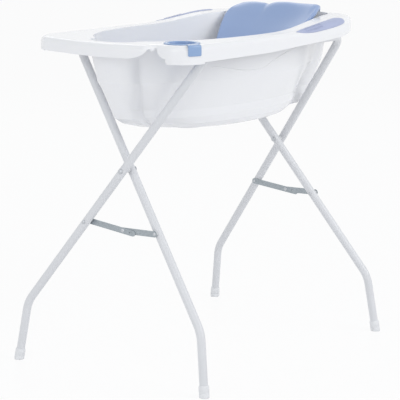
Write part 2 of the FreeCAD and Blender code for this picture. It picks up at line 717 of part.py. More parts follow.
def tub_shell():
    """Tub in one moulding: basin, base pad, rim with skirt, saddles over the bars."""
    wall = num("wall")
    cap_outer = rim_block(0, 0, False)
    cap_inner = rim_block(-wall, -wall, True)
    rim = cap_outer.cut(cap_inner)
    body = basin(0).common(under_rim(0, wall))
    shell = rim.fuse([body, pad_block(0)])
    ribs = []
    for hand in (-1, 1):
        for side in (-1, 1):
            y_in = crown_half - 3 * wall
            y_out = rim_half - wall / 2
            rib = Part.makeBox(num("saddle_thick"), y_out - y_in, TALL,
                               V(hand * num("saddle_at") - num("saddle_thick") / 2,
                                 y_in if side > 0 else -y_out,
                                 bar_z + num("tube_dia") / 2 + num("clearance")))
            ribs.append(rib.common(cap_outer))
    ring = Part.Face(rim_corners(0)).cut(Part.Face(rim_corners(-wall)))
    lip = ring.extrude(V(0, 0, 2 * num("lip_drop")))
    lip.translate(V(0, 0, skirt_low - num("lip_drop")))
    lip_start, lip_end = corner_x + wall, outer_x - num("lip_end_in")
    lip_in, lip_out = arch_past + wall, rim_half + wall
    window = Part.makeBox(lip_start - lip_end, lip_out - lip_in, TALL, V(-lip_start, -lip_out, 0))
    ribs.append(lip.common(window))
    shell = shell.fuse(ribs)
    shell = shell.cut([basin(wall), pad_block(wall)])
    plain_cut = corner_x - num("notch_round") * 3
    tools = [foot_edge(),
             Part.makeBox(FAR, 2 * lobe_flat, lobe_z, V(-FAR - shoulder_x, -lobe_flat, 0)),
             Part.makeBox(FAR, FAR, lobe_z, V(-FAR - plain_cut, lobe_flat, 0))]
    tools.append(Part.makeCylinder(num("drain_dia") / 2, num("pad_depth") * 4,
                                   V(-num("drain_at"), 0, floor_z - num("pad_depth") * 2)))
    tools.append(Part.makeCylinder(num("dish_bowl_dia") / 2 + num("dish_fit"), 4 * num("dish_depth"),
                                   V(dish_x, dish_y, rim_low - 2 * num("dish_depth"))))
    return shell.cut(tools).removeSplitter()


dish_x = num("corner_round") - corner_x
dish_y = num("corner_round") - rim_half
keep(feature("tub_shell_mould", tub_shell()), "tub_shell")

# Rim grips: thin crescents over the rim's crest on both long sides
wrap = rim_block(num("grip_thick"), num("grip_thick"), False).cut(rim_block(0, 0, False))
grip_start, grip_end = num("grip_start"), side_x + num("grip_past")
grip_swell, grip_low = grip_start + num("grip_swell"), rim_high - num("grip_drop")


def grip_window(side):
    """Crescent that climbs from the rim's outer face to its top, seen from the side and above."""
    flank = [V(grip_start, -FAR, rim_low + num("grip_tip_rise")), V(grip_swell, -FAR, grip_low),
             V(grip_start + num("grip_full"), -FAR, grip_low),
             V(grip_end, -FAR, rim_high - num("grip_end_drop")),
             V(grip_end, -FAR, TALL), V(grip_start, -FAR, TALL)]
    above = [V(grip_start, side * (rim_half - num("grip_tip_width")), 0),
             V(grip_swell, side * (rim_half - num("grip_swell_width")), 0),
             V(grip_end, side * (rim_half - num("grip_width")), 0),
             V(grip_end, side * (rim_half + 2 * num("grip_thick")), 0),
             V(grip_start, side * (rim_half + 2 * num("grip_thick")), 0)]
    flank = Part.Face(Part.makePolygon(flank + flank[:1])).extrude(V(0, 2 * FAR, 0))
    return flank.common(Part.Face(Part.makePolygon(above + above[:1])).extrude(V(0, 0, TALL)))


for side_name, side in (("near", -1), ("far", 1)):
    keep(feature("grip_%s_wrap" % side_name, wrap.common(grip_window(side))), "rim_grip_" + side_name)

# Drain plug and its seal, seated on the recessed floor
drain_floor = size("floor_height") - size("pad_depth") + size("wall")
drain_base = V(-num("drain_at"), 0, drain_floor.value)
seal_r = size("seal_dia") / 2
plug_r = size("drain_dia") / 2 - size("plug_fit")
revolved("drain_seal", [(plug_r + size("plug_fit") / 3, 0), (seal_r, 0), (seal_r, size("seal_height")),
                        (plug_r + size("plug_fit") / 3, size("seal_height"))],
         FreeCAD.Placement(drain_base, FreeCAD.Rotation()))
knob_r = size("plug_knob_dia") / 2
deep = size("plug_depth")
seat = deep + size("seal_height")
flange = seat + size("plug_flange")
knob = flange + size("plug_knob_height")
revolved("drain_plug", [(0, 0), (plug_r * 0.9, 0), (plug_r, deep / 2), (plug_r, seat), (seal_r, seat),
                        (seal_r, flange), (knob_r * 0.7, flange), (knob_r, knob - knob_r * 0.5),
                        (knob_r * 0.7, knob), (0, knob)],
         FreeCAD.Placement(drain_base - V(0, 0, num("plug_depth")), FreeCAD.Rotation()))


def soap_dish():
    """Round dish in the rim corner with a tab that hangs over the skirt."""
    top = rim_low
    wall = num("dish_wall")
    bowl_r = num("dish_bowl_dia") / 2
    centre = V(dish_x, dish_y, 0)
    flange = Part.makeCylinder(num("dish_flange_dia") / 2, wall, centre + V(0, 0, top))
    bowl = Part.makeCylinder(bowl_r, num("dish_depth"), centre + V(0, 0, top + wall - num("dish_depth")))
    solid = flange.fuse(bowl)
    edge = num("corner_round") + num("clearance")
    angle = num("dish_tab_half_angle")
    plate = Part.makeCylinder(edge + wall, wall, centre + V(0, 0, top), V(0, 0, 1), 2 * angle)
    drop = Part.makeCylinder(edge + wall, num("dish_tab_drop") + wall,
                             centre + V(0, 0, top - num("dish_tab_drop")), V(0, 0, 1), 2 * angle)
    drop = drop.cut(Part.makeCylinder(edge, num("dish_tab_drop") * 4,
                                      centre + V(0, 0, top - 2 * num("dish_tab_drop"))))
    tab = plate.fuse(drop)
    tab.rotate(centre, V(0, 0, 1), 270 - num("dish_tab_turn") - angle)
    hollow = Part.makeCylinder(bowl_r - wall, num("dish_depth"),
                               centre + V(0, 0, top + 2 * wall - num("dish_depth")))
    return solid.fuse(tab).cut(hollow).removeSplitter()


keep(feature("soap_dish_mould", soap_dish()), "soap_dish")


def sunk(points, radii, depth):
    """Path points and bend radii moved to the underside by a depth."""
    runs = [(b - a).normalize() for a, b in zip(points, points[1:])]
    under = [V(d.z, 0, -d.x) for d in runs]
    moved = [points[0] + under[0] * depth]
    bends = [0]
    for i in range(1, len(points) - 1):
        both = under[i - 1] + under[i]
        moved.append(points[i] + both * (depth / (1 + under[i - 1].dot(under[i]))))
        left_turn = runs[i - 1].x * runs[i].z - runs[i - 1].z * runs[i].x > 0
        bends.append(radii[i] + depth if left_turn else radii[i] - depth)
    moved.append(points[-1] + under[-1] * depth)
    bends.append(0)
    return moved, bends


def rest_layer(points, radii, top, bottom, half_front, half_back, trim):
    """Solid band under the rest's surface between two depths, tapered in plan."""
    upper = open_round_path(*sunk(points, radii, top))
    lower = open_round_path(*sunk(points, radii, bottom))
    ends = []
    for a, b in ((upper.Vertexes[0], lower.Vertexes[0]), (upper.Vertexes[-1], lower.Vertexes[-1])):
        ends.append(Part.LineSegment(a.Point, b.Point).toShape())
    outline = Part.Wire(Part.__sortEdges__(list(upper.Edges) + list(lower.Edges) + ends))
    band = Part.Face(outline).extrude(V(0, 2 * FAR, 0))
    band.translate(V(0, -FAR, 0))
    x0, x1, x2 = num("rest_front") + trim, num("rest_heel"), crown_long - num("rest_mid_short")
    side = [(x0, half_front), (x1, half_front), (x2, half_back), (FAR, half_back)]
    ring = [V(x, y, 0) for x, y in side] + [V(x, -y, 0) for x, y in reversed(side)]
    plan = Part.Face(Part.makePolygon(ring + ring[:1])).extrude(V(0, 0, TALL))
    return band.common(plan)


def bath_rest():
    """Reclined support: seat, back, ridge above the head rim, turned-down edges all round."""
    gauge, cheek, bend = num("rest_gauge"), num("rest_cheek"), num("rest_bend")
    seat = floor_z + num("wall") + cheek
    perch = rim_high + num("clearance") + cheek
    line = [V(num("rest_front"), 0, seat), V(num("rest_heel"), 0, seat),
            V(crown_long - num("rest_mid_short"), 0, rim_low - num("rest_mid_drop")),
            V(crown_long - num("rest_ridge_short"), 0, rim_high + num("rest_ridge_rise")),
            V(crown_long - num("rest_back_short"), 0, perch)]
    half_front, half_back = floor_half - num("rest_foot_inset"), crown_half - num("rest_inset")
    radii = [0, bend, 3 * bend, bend, 0]
    shell = rest_layer(line, radii, 0, cheek, half_front, half_back, 0)
    run_out = (line[-1] - line[-2]).normalize()
    inner = [line[0] + V(gauge, 0, 0)] + line[1:-1] + [line[-1] - run_out * gauge]
    hollow = rest_layer(inner, radii, gauge, cheek + gauge, half_front - gauge, half_back - gauge, gauge)
    return shell.cut(hollow).removeSplitter()


keep(feature("bath_rest_mould", bath_rest()), "bath_rest")

doc.recompute()
failed = [o.Name for o in doc.Objects if "Invalid" in o.State or "Error" in o.State]
bad = [o.Label for o in subparts if o.Shape.isNull() or not o.Shape.isValid()]
if failed or bad:
    raise RuntimeError("failed objects %s, bad shapes %s" % (failed, bad))
os.makedirs("parts", exist_ok=True)
for obj in subparts:
    obj.Shape.exportStep(os.path.join("parts", obj.Label + ".step"))
print("wrote", len(subparts), "sub-parts")
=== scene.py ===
"""Baby bath on a folding stand: its surfaces, its finishes and the room it stands in."""
import json
import logging
import math
from dataclasses import dataclass
from enum import Enum, IntEnum
from typing import Sequence

import bmesh
import bpy
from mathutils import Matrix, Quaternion, Vector


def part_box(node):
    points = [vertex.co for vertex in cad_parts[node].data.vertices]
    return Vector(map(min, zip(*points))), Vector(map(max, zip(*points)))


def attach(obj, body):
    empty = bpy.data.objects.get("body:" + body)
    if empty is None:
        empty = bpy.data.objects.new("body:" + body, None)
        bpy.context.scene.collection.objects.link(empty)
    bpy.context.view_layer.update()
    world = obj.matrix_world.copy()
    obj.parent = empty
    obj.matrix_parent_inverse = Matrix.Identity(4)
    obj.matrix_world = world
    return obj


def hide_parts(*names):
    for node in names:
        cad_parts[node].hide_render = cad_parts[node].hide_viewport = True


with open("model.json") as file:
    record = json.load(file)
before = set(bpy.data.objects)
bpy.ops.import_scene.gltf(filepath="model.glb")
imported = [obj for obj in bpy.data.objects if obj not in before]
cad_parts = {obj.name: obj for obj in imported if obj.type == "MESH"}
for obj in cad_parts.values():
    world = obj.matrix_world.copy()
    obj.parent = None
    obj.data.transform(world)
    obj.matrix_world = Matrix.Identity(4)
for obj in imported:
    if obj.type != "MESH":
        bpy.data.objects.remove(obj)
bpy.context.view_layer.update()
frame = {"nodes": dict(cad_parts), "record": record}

LOG = logging.getLogger("baby_bath")
MM = 0.001
WELD_GAP = 1e-6
# Inset of the inner frame's tube from the outer frame's, at each end, in millimetres.
FRAME_STEP = 33.87
# Facets of the bent tubes, the rivet domes and the grip ribs.
BEND_STEPS = 18
TUBE_FACETS = 40
DOME_FACETS = (28, 14)
RIB_FACETS = (16, 10)
Colour = tuple[float, float, float]
Point = tuple[float, float, float]
Pair = tuple[float, float]
Socket = bpy.types.NodeSocket


class Hand(Enum):
    """End of the bath, as the sign of x."""

    LEFT = -1.0
    RIGHT = 1.0


class Side(Enum):
    """Long side of the bath, as the sign of y."""

    NEAR = -1.0
    FAR = 1.0


class ColourMix(IntEnum):
    """Socket places on a node that blends colours."""

    FACTOR = 0
    RESULT = 2
    LOW = 6
    HIGH = 7


class ShaderMix(IntEnum):
    """Socket places on a node that blends shaders."""

    FACTOR = 0
    LOW = 1
    HIGH = 2


class NodeSheet:
    """Node tree, with short calls that add and join nodes."""

    def __init__(self, tree: bpy.types.NodeTree) -> None:
        """Work in a tree.

        Args:
            tree: Tree to fill.
        """
        self.tree = tree

    def add(self, kind: str, **settings: object) -> bpy.types.Node:
        """Add a node.

        Args:
            kind: Node type.
            settings: Properties to set on it.

        Returns:
            The new node.
        """
        node = self.tree.nodes.new(kind)
        for key, value in settings.items():
            setattr(node, key, value)
        return node

    def join(self, out: Socket, into: Socket) -> None:
        """Link two sockets."""
        self.tree.links.new(out, into)

    def blend(self, factor: Socket, low: Socket, high: Socket) -> Socket:
        """Blend two shaders.

        Args:
            factor: Share of the second one.
            low: Shader at 0.
            high: Shader at 1.

        Returns:
            Shader socket.
        """
        mix = self.add("ShaderNodeMixShader")
        self.join(factor, mix.inputs[ShaderMix.FACTOR])
        self.join(low, mix.inputs[ShaderMix.LOW])
        self.join(high, mix.inputs[ShaderMix.HIGH])
        return mix.outputs["Shader"]

    def seen_rays(self) -> Socket:
        """Tell the rays that look at the room from those that light it.

        Returns:
            Factor that is 1 for rays from the camera, off gloss or through a clear surface.
        """
        path = self.add("ShaderNodeLightPath")
        factor = path.outputs["Is Camera Ray"]
        for name in ("Is Glossy Ray", "Is Transmission Ray"):
            either = self.add("ShaderNodeMath", operation="MAXIMUM")
            for source, target in zip((factor, path.outputs[name]), either.inputs):
                self.join(source, target)
            factor = either.outputs["Value"]
        return factor


class ShaderSheet(NodeSheet):
    """Node tree of one material, with patterns in the object's own space."""

    def __init__(self, name: str) -> None:
        """Start a material.

        Args:
            name: Name of the material.
        """
        self.material = bpy.data.materials.new(name)
        self.material.use_nodes = True
        super().__init__(self.material.node_tree)
        self.surface = self.tree.nodes["Principled BSDF"]
        self.place = self.add("ShaderNodeTexCoord").outputs["Object"]

    def noise(self, scale: float, detail: float = 2.0, stretch: Point = (1, 1, 1)) -> Socket:
        """Cloudy pattern in object space.

        Args:
            scale: Cells per metre.
            detail: Octaves.
            stretch: Scale along each axis.

        Returns:
            Factor socket.
        """
        node = self.add("ShaderNodeTexNoise")
        node.inputs["Scale"].default_value = scale
        node.inputs["Detail"].default_value = detail
        mapping = self.add("ShaderNodeMapping")
        mapping.inputs["Scale"].default_value = stretch
        self.join(self.place, mapping.inputs["Vector"])
        self.join(mapping.outputs["Vector"], node.inputs["Vector"])
        return node.outputs["Fac"]

    def cells(self, scale: float) -> bpy.types.Node:
        """Voronoi pattern in object space.

        Args:
            scale: Cells per metre.

        Returns:
            The Voronoi node.
        """
        node = self.add("ShaderNodeTexVoronoi", feature="F1")
        node.inputs["Scale"].default_value = scale
        self.join(self.place, node.inputs["Vector"])
        return node

    def span(self, factor: Socket, low: float, high: float) -> Socket:
        """Map a factor onto a range.

        Args:
            factor: Input from 0 to 1.
            low: Result at 0.
            high: Result at 1.

        Returns:
            Value socket.
        """
        node = self.add("ShaderNodeMapRange")
        node.inputs["To Min"].default_value = low
        node.inputs["To Max"].default_value = high
        self.join(factor, node.inputs["Value"])
        return node.outputs["Result"]

    def tint(self, factor: Socket, low: Colour, high: Colour) -> Socket:
        """Blend two colours.

        Args:
            factor: Input from 0 to 1.
            low: Colour at 0.
            high: Colour at 1.

        Returns:
            Colour socket.
        """
        node = self.add("ShaderNodeMix", data_type="RGBA")
        node.inputs[ColourMix.LOW].default_value = (*low, 1.0)
        node.inputs[ColourMix.HIGH].default_value = (*high, 1.0)
        self.join(factor, node.inputs[ColourMix.FACTOR])
        return node.outputs[ColourMix.RESULT]

    def relief(self, height: Socket, strength: float, depth: float) -> None:
        """Add surface relief to the shader.

        Args:
            height: Height pattern.
            strength: Bump strength.
            depth: Bump distance in metres.
        """
        node = self.add("ShaderNodeBump")
        node.inputs["Strength"].default_value = strength
        node.inputs["Distance"].default_value = depth
        self.join(height, node.inputs["Height"])
        self.join(node.outputs["Normal"], self.surface.inputs["Normal"])


def shade(colour: Colour, gain: float) -> Colour:
    """Lighter or darker copy of a colour, kept within range.

    Args:
        colour: Linear colour.
        gain: Multiplier.

    Returns:
        Scaled colour.
    """
    return tuple(min(c * gain, 1.0) for c in colour)


@dataclass(frozen=True, kw_only=True)
class Finish:
    """Surface whose colour drifts with a slow pattern and whose gloss and relief follow a fine one."""

    name: str
    colour: Colour
    drift: float
    slow_scale: float
    slow_detail: float = 3.0
    fine_scale: float
    fine_detail: float = 3.0
    smooth: float
    rough: float
    relief: float
    depth: float

    def material(self) -> bpy.types.Material:
        """Build the node material.

        Returns:
            The material.
        """
        sheet = ShaderSheet(self.name)
        low, high = shade(self.colour, 1 - self.drift), shade(self.colour, 1 + self.drift)
        fine = self.fine(sheet)
        sheet.join(sheet.tint(self.slow(sheet), low, high), sheet.surface.inputs["Base Color"])
        sheet.join(sheet.span(fine, self.smooth, self.rough), sheet.surface.inputs["Roughness"])
        sheet.relief(fine, self.relief, self.depth)
        for name, value in self.extras().items():
            sheet.surface.inputs[name].default_value = value
        return sheet.material

    def slow(self, sheet: ShaderSheet) -> Socket:
        """Pattern that the colour follows."""
        return sheet.noise(self.slow_scale, self.slow_detail)

    def fine(self, sheet: ShaderSheet) -> Socket:
        """Pattern that the gloss and the relief follow."""
        return sheet.noise(self.fine_scale, self.fine_detail)

    def extras(self) -> dict[str, object]:
        """Further shader inputs by name."""
        return {}


@dataclass(frozen=True, kw_only=True)
class MouldedPlastic(Finish):
    """Injection-moulded plastic with a fine tool grain and slow colour drift."""

    drift: float = 0.02
    slow_scale: float = 7.0
    fine_scale: float = 900.0
    fine_detail: float = 2.0
    relief: float = 0.25
    depth: float = 0.00003
    glow: float = 0.0
    glow_reach: Point = (0.006, 0.006, 0.007)
    coat: float = 0.0
    coat_rough: float = 0.12

    def extras(self) -> dict[str, object]:
        """Glow inside the plastic and gloss over it."""
        return {"Subsurface Weight": self.glow, "Subsurface Radius": self.glow_reach,
                "Coat Weight": self.coat, "Coat Roughness": self.coat_rough}


@dataclass(frozen=True, kw_only=True)
class PowderCoat(Finish):
    """Baked powder paint on steel, with a slight orange-peel ripple."""

    drift: float = 0.03
    slow_scale: float = 11.0
    slow_detail: float = 4.0
    fine_scale: float = 420.0
    smooth: float = 0.30
    rough: float = 0.42
    relief: float = 0.3
    depth: float = 0.00006
    coat: float = 0.15
    coat_rough: float = 0.2

    def extras(self) -> dict[str, object]:
        """Gloss over the paint."""
        return {"Coat Weight": self.coat, "Coat Roughness": self.coat_rough}


@dataclass(frozen=True, kw_only=True)
class PlatedSteel(Finish):
    """Zinc-plated steel with a faint spangle and drawing lines."""

    drift: float = 0.08
    slow_scale: float = 260.0
    fine_scale: float = 30.0
    draw_lines: Point = (1.0, 6.0, 60.0)
    smooth: float = 0.32
    rough: float = 0.5
    relief: float = 0.15
    depth: float = 0.00003
    metallic: float = 0.7

    def slow(self, sheet: ShaderSheet) -> Socket:
        """Spangle that the colour follows.

        Args:
            sheet: Material to work in.

        Returns:
            Factor socket.
        """
        split = sheet.add("ShaderNodeSeparateColor")
        sheet.join(sheet.cells(self.slow_scale).outputs["Color"], split.inputs["Color"])
        return split.outputs["Red"]

    def fine(self, sheet: ShaderSheet) -> Socket:
        """Drawing lines that the gloss and the relief follow."""
        return sheet.noise(self.fine_scale, self.fine_detail, self.draw_lines)

    def extras(self) -> dict[str, object]:
        """Share of bare metal."""
        return {"Metallic": self.metallic}


@dataclass(frozen=True, kw_only=True)
class SoftTouch(Finish):
    """Soft grip moulding with a fine pebbled skin."""

    drift: float = 0.04
    slow_scale: float = 16.0
    fine_scale: float = 700.0
    smooth: float = 0.5
    rough: float = 0.66
    relief: float = 0.3
    depth: float = 0.00012

    def fine(self, sheet: ShaderSheet) -> Socket:
        """Pebbles that the gloss and the relief follow."""
        return sheet.cells(self.fine_scale).outputs["Distance"]


FINISHES: tuple[Finish, ...] = (
    MouldedPlastic(name="tub_white", colour=(0.87, 0.875, 0.895), drift=0.01, fine_scale=700.0,
                   smooth=0.2, rough=0.3, depth=0.00002, glow=0.06, coat=0.12),
    PowderCoat(name="frame_white", colour=(0.72, 0.73, 0.755)),
    MouldedPlastic(name="cap_white", colour=(0.80, 0.81, 0.83), smooth=0.4, rough=0.55),
    MouldedPlastic(name="rest_blue", colour=(0.29, 0.40, 0.65), drift=0.03, smooth=0.24, rough=0.36,
                   coat=0.2),
    MouldedPlastic(name="dish_blue", colour=(0.27, 0.40, 0.64), drift=0.03, smooth=0.2, rough=0.32,
                   coat=0.2),
    MouldedPlastic(name="plug_blue", colour=(0.25, 0.36, 0.62), drift=0.03, smooth=0.26, rough=0.4),
    SoftTouch(name="grip_blue", colour=(0.43, 0.475, 0.66)),
    PlatedSteel(name="stay_steel", colour=(0.38, 0.42, 0.45)),
    PlatedSteel(name="rivet_steel", colour=(0.55, 0.57, 0.60), slow_scale=900.0, metallic=0.9),
    MouldedPlastic(name="sleeve_white", colour=(0.70, 0.71, 0.72), smooth=0.4, rough=0.55),
    SoftTouch(name="seal_grey", colour=(0.28, 0.29, 0.31), fine_scale=1500.0))


class Workshop:
    """Shared bench: one material per slot, and calls that turn mesh data into finished pieces."""

    def __init__(self) -> None:
        """Make the materials."""
        self.materials = {finish.name: finish.material() for finish in FINISHES}

    def piece(self, name: str, data: bpy.types.Mesh, body: str, slot: str, nodes: Sequence[str] = ()) -> None:
        """Turn a mesh into a piece that rides on a body.

        Args:
            name: Piece name.
            data: Finished mesh, placed in the object's frame.
            body: Body that it moves with.
            slot: Material slot.
            nodes: Nodes that it stands for.
        """
        data.materials.clear()
        data.materials.append(self.materials[slot])
        data.shade_smooth()
        obj = bpy.data.objects.new(name, data)
        bpy.context.scene.collection.objects.link(obj)
        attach(obj, body)
        if nodes:
            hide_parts(*nodes)
        LOG.info("%s: %d faces on %s", name, len(data.polygons), body)

    def dress_nodes(self) -> None:
        """Give every carried-over solid the material of its slot."""
        for entry in frame["record"]["subparts"]:
            obj = frame["nodes"][entry["node"]]
            for slot in obj.material_slots:
                slot.material = self.materials[entry["material_slot"]]


class NodeRecipe(NodeSheet):
    """Geometry node tree with named inputs, which ends as one plain mesh."""

    def __init__(self, name: str) -> None:
        """Start a tree.

        Args:
            name: Name of the tree.
        """
        super().__init__(bpy.data.node_groups.new(name, "GeometryNodeTree"))
        for way in ("INPUT", "OUTPUT"):
            self.tree.interface.new_socket("Geometry", in_out=way, socket_type="NodeSocketGeometry")
        self.keys: dict[str, str] = {}
        self.source = self.add("NodeGroupInput")

    def size(self, name: str, kind: str = "NodeSocketFloat") -> Socket:
        """Add a named input.

        Args:
            name: Input name.
            kind: Socket type.

        Returns:
            The input's socket inside the tree.
        """
        socket = self.tree.interface.new_socket(name, in_out="INPUT", socket_type=kind)
        self.keys[name] = socket.identifier
        return self.source.outputs[name]

    def attribute(self, name: str, kind: str = "FLOAT") -> Socket:
        """Read a named attribute of the path.

        Args:
            name: Attribute name.
            kind: Data type.

        Returns:
            Field socket.
        """
        node = self.add("GeometryNodeInputNamedAttribute", data_type=kind)
        node.inputs["Name"].default_value = name
        return node.outputs["Attribute"]

    def line(self) -> Socket:
        """Turn the path's edges into a curve.

        Returns:
            Curve socket.
        """
        node = self.add("GeometryNodeMeshToCurve")
        self.join(self.source.outputs["Geometry"], node.inputs["Mesh"])
        return node.outputs["Curve"]

    def scatter(self, points: Socket, turn: Socket, facets: tuple[int, int]) -> None:
        """Stand spheres, stretched to the path's sizes, on points and end the tree.

        Args:
            points: Points to stand on.
            turn: Rotation of each sphere.
            facets: Segments and rings of a sphere.
        """
        ball = self.add("GeometryNodeMeshUVSphere")
        for name, count in zip(("Segments", "Rings"), facets):
            ball.inputs[name].default_value = count
        place = self.add("GeometryNodeInstanceOnPoints")
        self.join(points, place.inputs["Points"])
        self.join(ball.outputs["Mesh"], place.inputs["Instance"])
        self.join(turn, place.inputs["Rotation"])
        self.join(self.attribute("size", "FLOAT_VECTOR"), place.inputs["Scale"])
        self.close(place.outputs["Instances"])

    def close(self, made: Socket) -> None:
        """End the tree in real geometry with its material.

        Args:
            made: Geometry socket to finish.
        """
        real = self.add("GeometryNodeRealizeInstances")
        dress = self.add("GeometryNodeSetMaterial")
        self.join(made, real.inputs["Geometry"])
        self.join(real.outputs["Geometry"], dress.inputs["Geometry"])
        self.join(self.size("Material", "NodeSocketMaterial"), dress.inputs["Material"])
        self.join(dress.outputs["Geometry"], self.add("NodeGroupOutput").inputs["Geometry"])

    def bake(self, path: bpy.types.Mesh, values: dict[str, object]) -> bpy.types.Mesh:
        """Run the tree on a path and keep the result as a plain mesh.

        Args:
            path: Mesh that the tree works on.
            values: Input values by name.

        Returns:
            Finished mesh.
        """
        obj = bpy.data.objects.new("recipe_path", path)
        bpy.context.scene.collection.objects.link(obj)
        modifier = obj.modifiers.new("recipe", "NODES")
        modifier.node_group = self.tree
        for name, value in values.items():
            modifier[self.keys[name]] = value
        graph = bpy.context.evaluated_depsgraph_get()
        made = bpy.data.meshes.new_from_object(obj.evaluated_get(graph))
        obj.modifiers.remove(modifier)
        bpy.data.objects.remove(obj)
        return made


def path_mesh(name: str, points: Sequence[Point], linked: bool = True,
              **extra: Sequence[object]) -> bpy.types.Mesh:
    """Points in metres from points in millimetres, with attributes.

    Args:
        name: Mesh name.
        points: Points along the line.
        linked: True joins the points into a line.
        extra: One value per point for each attribute, numbers or vectors.

    Returns:
        Mesh of vertices, with edges where they are linked.
    """
    data = bpy.data.meshes.new(name)
    edges = [(i, i + 1) for i in range(len(points) - 1)] if linked else []
    data.from_pydata([tuple(c * MM for c in p) for p in points], edges, [])
    for key, values in extra.items():
        vector = isinstance(values[0], tuple)
        layer = data.attributes.new(key, "FLOAT_VECTOR" if vector else "FLOAT", "POINT")
        for item, value in zip(layer.data, values):
            if vector:
                item.vector = value
            else:
                item.value = value
    return data


def bent_tube_recipe() -> NodeRecipe:
    """Round tube along a polyline, with each corner bent to its own radius.

    Returns:
        Tree with the input Tube radius.
    """
    tree = NodeRecipe("bent_tube")
    bend = tree.add("GeometryNodeFilletCurve", mode="POLY")
    bend.inputs["Count"].default_value = BEND_STEPS
    tree.join(tree.line(), bend.inputs["Curve"])
    tree.join(tree.attribute("bend"), bend.inputs["Radius"])
    ring = tree.add("GeometryNodeCurvePrimitiveCircle", mode="RADIUS")
    ring.inputs["Resolution"].default_value = TUBE_FACETS
    tree.join(tree.size("Tube radius"), ring.inputs["Radius"])
    sweep = tree.add("GeometryNodeCurveToMesh")
    sweep.inputs["Fill Caps"].default_value = True
    tree.join(bend.outputs["Curve"], sweep.inputs["Curve"])
    tree.join(ring.outputs["Curve"], sweep.inputs["Profile Curve"])
    tree.close(sweep.outputs["Mesh"])
    return tree


def stud_recipe() -> NodeRecipe:
    """Low domes standing on points, each turned to its own direction.

    Returns:
        Tree with no inputs but its material.
    """
    tree = NodeRecipe("studs")
    turn = tree.add("FunctionNodeAlignRotationToVector", axis="Z")
    tree.join(tree.attribute("aim", "FLOAT_VECTOR"), turn.inputs["Vector"])
    tree.scatter(tree.source.outputs["Geometry"], turn.outputs["Rotation"], DOME_FACETS)
    return tree


def rib_recipe() -> NodeRecipe:
    """Soft ribs spaced along a path, lying across it on the surface.

    Returns:
        Tree with the input Count.
    """
    tree = NodeRecipe("ribs")
    even = tree.add("GeometryNodeResampleCurve")
    tree.join(tree.line(), even.inputs["Curve"])
    tree.join(tree.size("Count", "NodeSocketInt"), even.inputs["Count"])
    up = tree.add("FunctionNodeAlignRotationToVector", axis="Z")
    tree.join(tree.attribute("out", "FLOAT_VECTOR"), up.inputs["Vector"])
    along = tree.add("FunctionNodeAlignRotationToVector", axis="X", pivot_axis="Z")
    tree.join(up.outputs["Rotation"], along.inputs["Rotation"])
    tree.join(tree.add("GeometryNodeInputTangent").outputs["Tangent"], along.inputs["Vector"])
    tree.scatter(even.outputs["Curve"], along.outputs["Rotation"], RIB_FACETS)
    return tree


def sheet_mesh(name: str, rows: Sequence[Sequence[Point]], closed: bool = False) -> bpy.types.Mesh:
    """Quad mesh through rows of points in millimetres.

    Args:
        name: Mesh name.
        rows: Rows with the same number of points.
        closed: True joins the last point of each row to its first.

    Returns:
        The mesh.
    """
    width = len(rows[0])
    spans = width if closed else width - 1
    faces = []
    for i in range(len(rows) - 1):
        for j in range(spans):
            k = (j + 1) % width
            faces.append((i * width + j, i * width + k, (i + 1) * width + k, (i + 1) * width + j))
    data = bpy.data.meshes.new(name)
    data.from_pydata([tuple(c * MM for c in p) for row in rows for p in row], [], faces)
    return data


def lathe_mesh(name: str, profile: Sequence[Pair], steps: int, base: Vector, axis: Vector) -> bpy.types.Mesh:
    """Closed turned shape about an axis.

    Args:
        name: Mesh name.
        profile: Radius and height pairs in millimetres, from pole to pole.
        steps: Facets round the axis.
        base: Origin of the axis in millimetres.
        axis: Direction of the axis.

    Returns:
        The mesh, with its poles merged.
    """
    turn = axis.to_track_quat("Z", "Y")
    rows = []
    for radius, height in profile:
        ring = []
        for k in range(steps):
            angle = math.tau * k / steps
            local = Vector((radius * math.cos(angle), radius * math.sin(angle), height))
            ring.append(tuple(base + turn @ local))
        rows.append(ring)
    return welded(sheet_mesh(name, rows, closed=True))


def welded(data: bpy.types.Mesh, level: bool = False) -> bpy.types.Mesh:
    """Merge doubles and turn the faces outwards.

    Args:
        data: Mesh to mend.
        level: True cuts it level with the floor and closes the cut.

    Returns:
        The same mesh.
    """
    work = bmesh.new()
    work.from_mesh(data)
    bmesh.ops.remove_doubles(work, verts=work.verts, dist=WELD_GAP)
    if level:
        everything = list(work.verts) + list(work.edges) + list(work.faces)
        cut = bmesh.ops.bisect_plane(work, geom=everything, plane_co=(0, 0, 0), plane_no=(0, 0, -1),
                                     clear_outer=True)
        rim = [e for e in cut["geom_cut"] if isinstance(e, bmesh.types.BMEdge)]
        bmesh.ops.contextual_create(work, geom=rim)
    bmesh.ops.recalc_face_normals(work, faces=work.faces)
    work.to_mesh(data)
    work.free()
    return data


def finished(data: bpy.types.Mesh, gauge: float, levels: int = 0) -> bpy.types.Mesh:
    """Give a sheet its thickness, inwards, and smooth it.

    Args:
        data: Mesh to finish.
        gauge: Wall thickness in millimetres.
        levels: Subdivision levels.

    Returns:
        New plain mesh.
    """
    obj = bpy.data.objects.new("finish", data)
    bpy.context.scene.collection.objects.link(obj)
    wall = obj.modifiers.new("wall", "SOLIDIFY")
    wall.thickness = gauge * MM
    wall.offset = -1.0
    wall.use_even_offset = True
    if levels:
        smooth = obj.modifiers.new("smooth", "SUBSURF")
        smooth.levels = levels
        smooth.render_levels = levels
    graph = bpy.context.evaluated_depsgraph_get()
    made = bpy.data.meshes.new_from_object(obj.evaluated_get(graph))
    bpy.data.objects.remove(obj)
    return made


